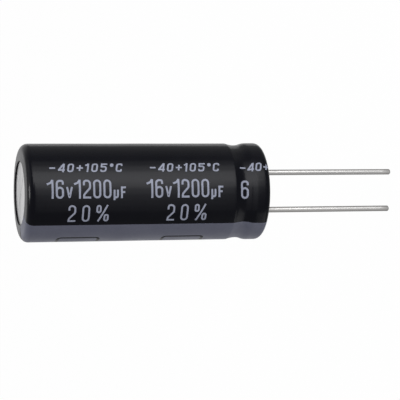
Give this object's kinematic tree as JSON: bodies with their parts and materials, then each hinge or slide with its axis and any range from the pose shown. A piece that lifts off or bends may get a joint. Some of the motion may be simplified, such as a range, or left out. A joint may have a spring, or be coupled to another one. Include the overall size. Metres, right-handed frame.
{
  "type": "electrolytic capacitor",
  "caption": "Radial aluminium electrolytic capacitor: sleeved can with a scored vent, beaded over a rubber seal, with a wound element and two wire leads.",
  "frame": {"origin": "middle of the seating plane under the rim, between the two leads", "axes": "+Z along the case towards its closed, vented end; +X from the negative lead to the positive lead"},
  "size_m": [0.0104, 0.0104, 0.0418],
  "materials": {
    "sleeve_film": "shrunk gloss film, black, with a printed grey-lilac negative band",
    "case_aluminium": "bare drawn aluminium, lightly brushed",
    "seal_rubber": "matt moulded butyl rubber",
    "tinned_wire": "bright tinned copper-clad steel wire",
    "tab_aluminium": "plain aluminium, pressed",
    "winding_paper": "foil and absorbent paper, soaked with electrolyte",
    "fixing_tape": "thin amber tape"
  },
  "bodies": {
    "root": {"sleeve": "sleeve_film", "case": "case_aluminium", "seal": "seal_rubber", "lead_positive": "tinned_wire", "lead_negative": "tinned_wire", "tab_positive": "tab_aluminium", "tab_negative": "tab_aluminium", "winding": "winding_paper", "fixing_tape": "fixing_tape"}
  },
  "joints": []
}
